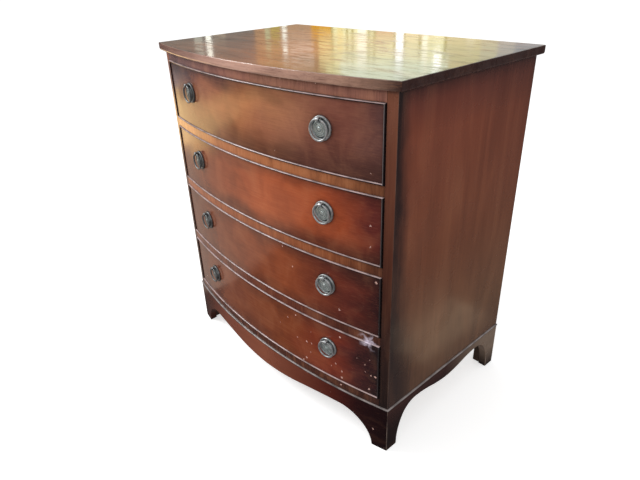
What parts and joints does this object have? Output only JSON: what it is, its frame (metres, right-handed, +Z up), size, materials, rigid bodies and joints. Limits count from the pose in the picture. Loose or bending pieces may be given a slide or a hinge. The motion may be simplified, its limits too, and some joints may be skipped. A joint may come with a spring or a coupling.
{
  "type": "bow front chest of drawers",
  "caption": "Bow front chest of drawers on a shaped bracket base, with overhanging top, cock-beaded drawers that slide out and round plates with hanging ring pulls.",
  "frame": {"origin": "on the floor, in the middle of the overall width and depth", "axes": "+Z up, -Y out of the drawer fronts, +X to the right of someone who stands before the chest"},
  "size_m": [0.762, 0.4928, 0.808],
  "materials": {
    "top_mahogany": "french polished, high gloss",
    "side_mahogany": "polished, satin",
    "rail_mahogany": "polished, semi-gloss",
    "base_mahogany": "polished, semi-gloss",
    "bead_mahogany": "polished, worn pale on the round",
    "front_mahogany": "polished, semi-gloss",
    "carcass_pine": "bare, planed",
    "back_plywood": "stained, matt",
    "drawer_oak": "waxed, matt",
    "drawer_bottom_ply": "waxed, matt",
    "antique_brass": "aged, grey-green in the hollows, rubbed bright on the edges"
  },
  "bodies": {
    "carcass": {"top": "top_mahogany", "left_side": "side_mahogany", "right_side": "side_mahogany", "back_panel": "back_plywood", "top_rail": "rail_mahogany", "drawer_rail_1": "rail_mahogany", "drawer_rail_2": "rail_mahogany", "drawer_rail_3": "rail_mahogany", "bottom_rail": "rail_mahogany", "runners": "carcass_pine", "dustboards": "carcass_pine", "top_kickers": "carcass_pine", "drawer_stops": "carcass_pine", "plinth_bead": "bead_mahogany", "base_front": "base_mahogany", "base_left": "base_mahogany", "base_right": "base_mahogany", "rear_brackets": "carcass_pine", "glue_blocks": "carcass_pine"},
    "drawer_1": {"drawer_1_front": "front_mahogany", "drawer_1_cock_bead": "bead_mahogany", "drawer_1_left_side": "drawer_oak", "drawer_1_right_side": "drawer_oak", "drawer_1_back": "drawer_oak", "drawer_1_bottom": "drawer_bottom_ply", "drawer_1_pull_plates": "antique_brass"},
    "drawer_2": {"drawer_2_front": "front_mahogany", "drawer_2_cock_bead": "bead_mahogany", "drawer_2_left_side": "drawer_oak", "drawer_2_right_side": "drawer_oak", "drawer_2_back": "drawer_oak", "drawer_2_bottom": "drawer_bottom_ply", "drawer_2_pull_plates": "antique_brass"},
    "drawer_3": {"drawer_3_front": "front_mahogany", "drawer_3_cock_bead": "bead_mahogany", "drawer_3_left_side": "drawer_oak", "drawer_3_right_side": "drawer_oak", "drawer_3_back": "drawer_oak", "drawer_3_bottom": "drawer_bottom_ply", "drawer_3_pull_plates": "antique_brass"},
    "drawer_4": {"drawer_4_front": "front_mahogany", "drawer_4_cock_bead": "bead_mahogany", "drawer_4_left_side": "drawer_oak", "drawer_4_right_side": "drawer_oak", "drawer_4_back": "drawer_oak", "drawer_4_bottom": "drawer_bottom_ply", "drawer_4_pull_plates": "antique_brass"},
    "drawer_1_ring_left": {"drawer_1_ring_left": "antique_brass"},
    "drawer_1_ring_right": {"drawer_1_ring_right": "antique_brass"},
    "drawer_2_ring_left": {"drawer_2_ring_left": "antique_brass"},
    "drawer_2_ring_right": {"drawer_2_ring_right": "antique_brass"},
    "drawer_3_ring_left": {"drawer_3_ring_left": "antique_brass"},
    "drawer_3_ring_right": {"drawer_3_ring_right": "antique_brass"},
    "drawer_4_ring_left": {"drawer_4_ring_left": "antique_brass"},
    "drawer_4_ring_right": {"drawer_4_ring_right": "antique_brass"}
  },
  "joints": [
    {"name": "drawer_1_slide", "type": "slide", "parent": "carcass", "child": "drawer_1", "axis": [0, -1, 0], "range_m": [0, 0.3]},
    {"name": "drawer_2_slide", "type": "slide", "parent": "carcass", "child": "drawer_2", "axis": [0, -1, 0], "range_m": [0, 0.3]},
    {"name": "drawer_3_slide", "type": "slide", "parent": "carcass", "child": "drawer_3", "axis": [0, -1, 0], "range_m": [0, 0.3]},
    {"name": "drawer_4_slide", "type": "slide", "parent": "carcass", "child": "drawer_4", "axis": [0, -1, 0], "range_m": [0, 0.3]},
    {"name": "drawer_1_ring_left_swing", "type": "hinge", "parent": "drawer_1", "child": "drawer_1_ring_left", "pos_m": [-0.22241, -0.22674, 0.729], "axis": [-0.9889, 0.1487, 0], "range_deg": [-5, 175]},
    {"name": "drawer_1_ring_right_swing", "type": "hinge", "parent": "drawer_1", "child": "drawer_1_ring_right", "pos_m": [0.22241, -0.22674, 0.729], "axis": [-0.9889, -0.1487, 0], "range_deg": [-5, 175]},
    {"name": "drawer_2_ring_left_swing", "type": "hinge", "parent": "drawer_2", "child": "drawer_2_ring_left", "pos_m": [-0.22241, -0.22674, 0.567], "axis": [-0.9889, 0.1487, 0], "range_deg": [-5, 175]},
    {"name": "drawer_2_ring_right_swing", "type": "hinge", "parent": "drawer_2", "child": "drawer_2_ring_right", "pos_m": [0.22241, -0.22674, 0.567], "axis": [-0.9889, -0.1487, 0], "range_deg": [-5, 175]},
    {"name": "drawer_3_ring_left_swing", "type": "hinge", "parent": "drawer_3", "child": "drawer_3_ring_left", "pos_m": [-0.22241, -0.22674, 0.405], "axis": [-0.9889, 0.1487, 0], "range_deg": [-5, 175]},
    {"name": "drawer_3_ring_right_swing", "type": "hinge", "parent": "drawer_3", "child": "drawer_3_ring_right", "pos_m": [0.22241, -0.22674, 0.405], "axis": [-0.9889, -0.1487, 0], "range_deg": [-5, 175]},
    {"name": "drawer_4_ring_left_swing", "type": "hinge", "parent": "drawer_4", "child": "drawer_4_ring_left", "pos_m": [-0.22241, -0.22674, 0.243], "axis": [-0.9889, 0.1487, 0], "range_deg": [-5, 175]},
    {"name": "drawer_4_ring_right_swing", "type": "hinge", "parent": "drawer_4", "child": "drawer_4_ring_right", "pos_m": [0.22241, -0.22674, 0.243], "axis": [-0.9889, -0.1487, 0], "range_deg": [-5, 175]}
  ]
}
